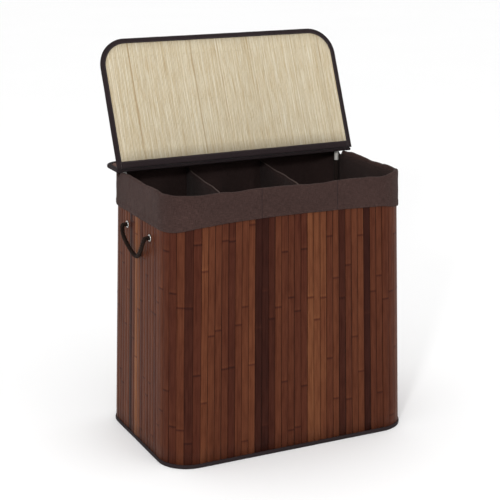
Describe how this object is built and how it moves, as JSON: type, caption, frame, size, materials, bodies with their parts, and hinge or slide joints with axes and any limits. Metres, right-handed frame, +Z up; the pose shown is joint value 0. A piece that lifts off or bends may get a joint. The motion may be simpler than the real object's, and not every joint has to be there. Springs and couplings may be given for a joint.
{
  "type": "laundry hamper with lid",
  "caption": "Tapered bamboo-slat laundry hamper with a folded cloth liner, dividers, rope handles and a hinged lid that leans back open.",
  "frame": {"origin": "middle of the underside, on the floor", "axes": "+Z up, +Y to the back where the lid is hinged, +X to the right seen from the front"},
  "size_m": [0.6122, 0.4064, 0.8819],
  "materials": {
    "bamboo_dark": "satin",
    "bamboo_light": "matte",
    "cuff_cloth": "matte",
    "liner_cloth": "matte",
    "binding_cloth": "matte",
    "backing_cloth": "matte",
    "board": "matte",
    "steel": "satin",
    "pole_cap": "satin",
    "eyelet": "gloss",
    "rope": "matte"
  },
  "bodies": {
    "hamper": {"base_cover": "binding_cloth", "base_board": "board", "base_piping": "binding_cloth", "rim_binding": "binding_cloth", "front_backing": "backing_cloth", "back_backing": "backing_cloth", "left_backing": "backing_cloth", "right_backing": "backing_cloth", "front_left_corner_backing": "backing_cloth", "back_left_corner_backing": "backing_cloth", "front_right_corner_backing": "backing_cloth", "back_right_corner_backing": "backing_cloth", "front_slats": "bamboo_dark", "back_slats": "bamboo_dark", "left_slats": "bamboo_dark", "right_slats": "bamboo_dark", "liner_bag": "liner_cloth", "liner_cuff": "cuff_cloth", "left_divider": "liner_cloth", "right_divider": "liner_cloth", "left_eyelets": "eyelet", "right_eyelets": "eyelet", "left_knots": "rope", "right_knots": "rope", "left_pole": "steel", "right_pole": "steel", "left_pole_cap": "pole_cap", "right_pole_cap": "pole_cap", "left_pole_sleeve": "liner_cloth", "right_pole_sleeve": "liner_cloth", "rear_strip_slats": "bamboo_dark", "rear_strip_core": "board", "rear_strip_inner_mat": "bamboo_light", "rear_strip_binding": "binding_cloth", "rear_strip_hinge_tape": "binding_cloth"},
    "lid": {"lid_slats": "bamboo_dark", "lid_core": "board", "lid_inner_mat": "bamboo_light", "lid_binding": "binding_cloth", "lid_hinge_tape": "binding_cloth"},
    "left_handle": {"left_rope_handle": "rope"},
    "right_handle": {"right_rope_handle": "rope"}
  },
  "joints": [
    {"name": "lid_hinge", "type": "hinge", "parent": "hamper", "child": "lid", "pos_m": [0, 0.0965, 0.607], "axis": [-1, 0, 0], "range_deg": [-112.84, 0]},
    {"name": "left_handle_swing", "type": "hinge", "parent": "hamper", "child": "left_handle", "pos_m": [-0.29812, 0, 0.49], "axis": [0, 1, 0], "range_deg": [0, 150]},
    {"name": "right_handle_swing", "type": "hinge", "parent": "hamper", "child": "right_handle", "pos_m": [0.29812, 0, 0.49], "axis": [0, -1, 0], "range_deg": [0, 150]}
  ]
}
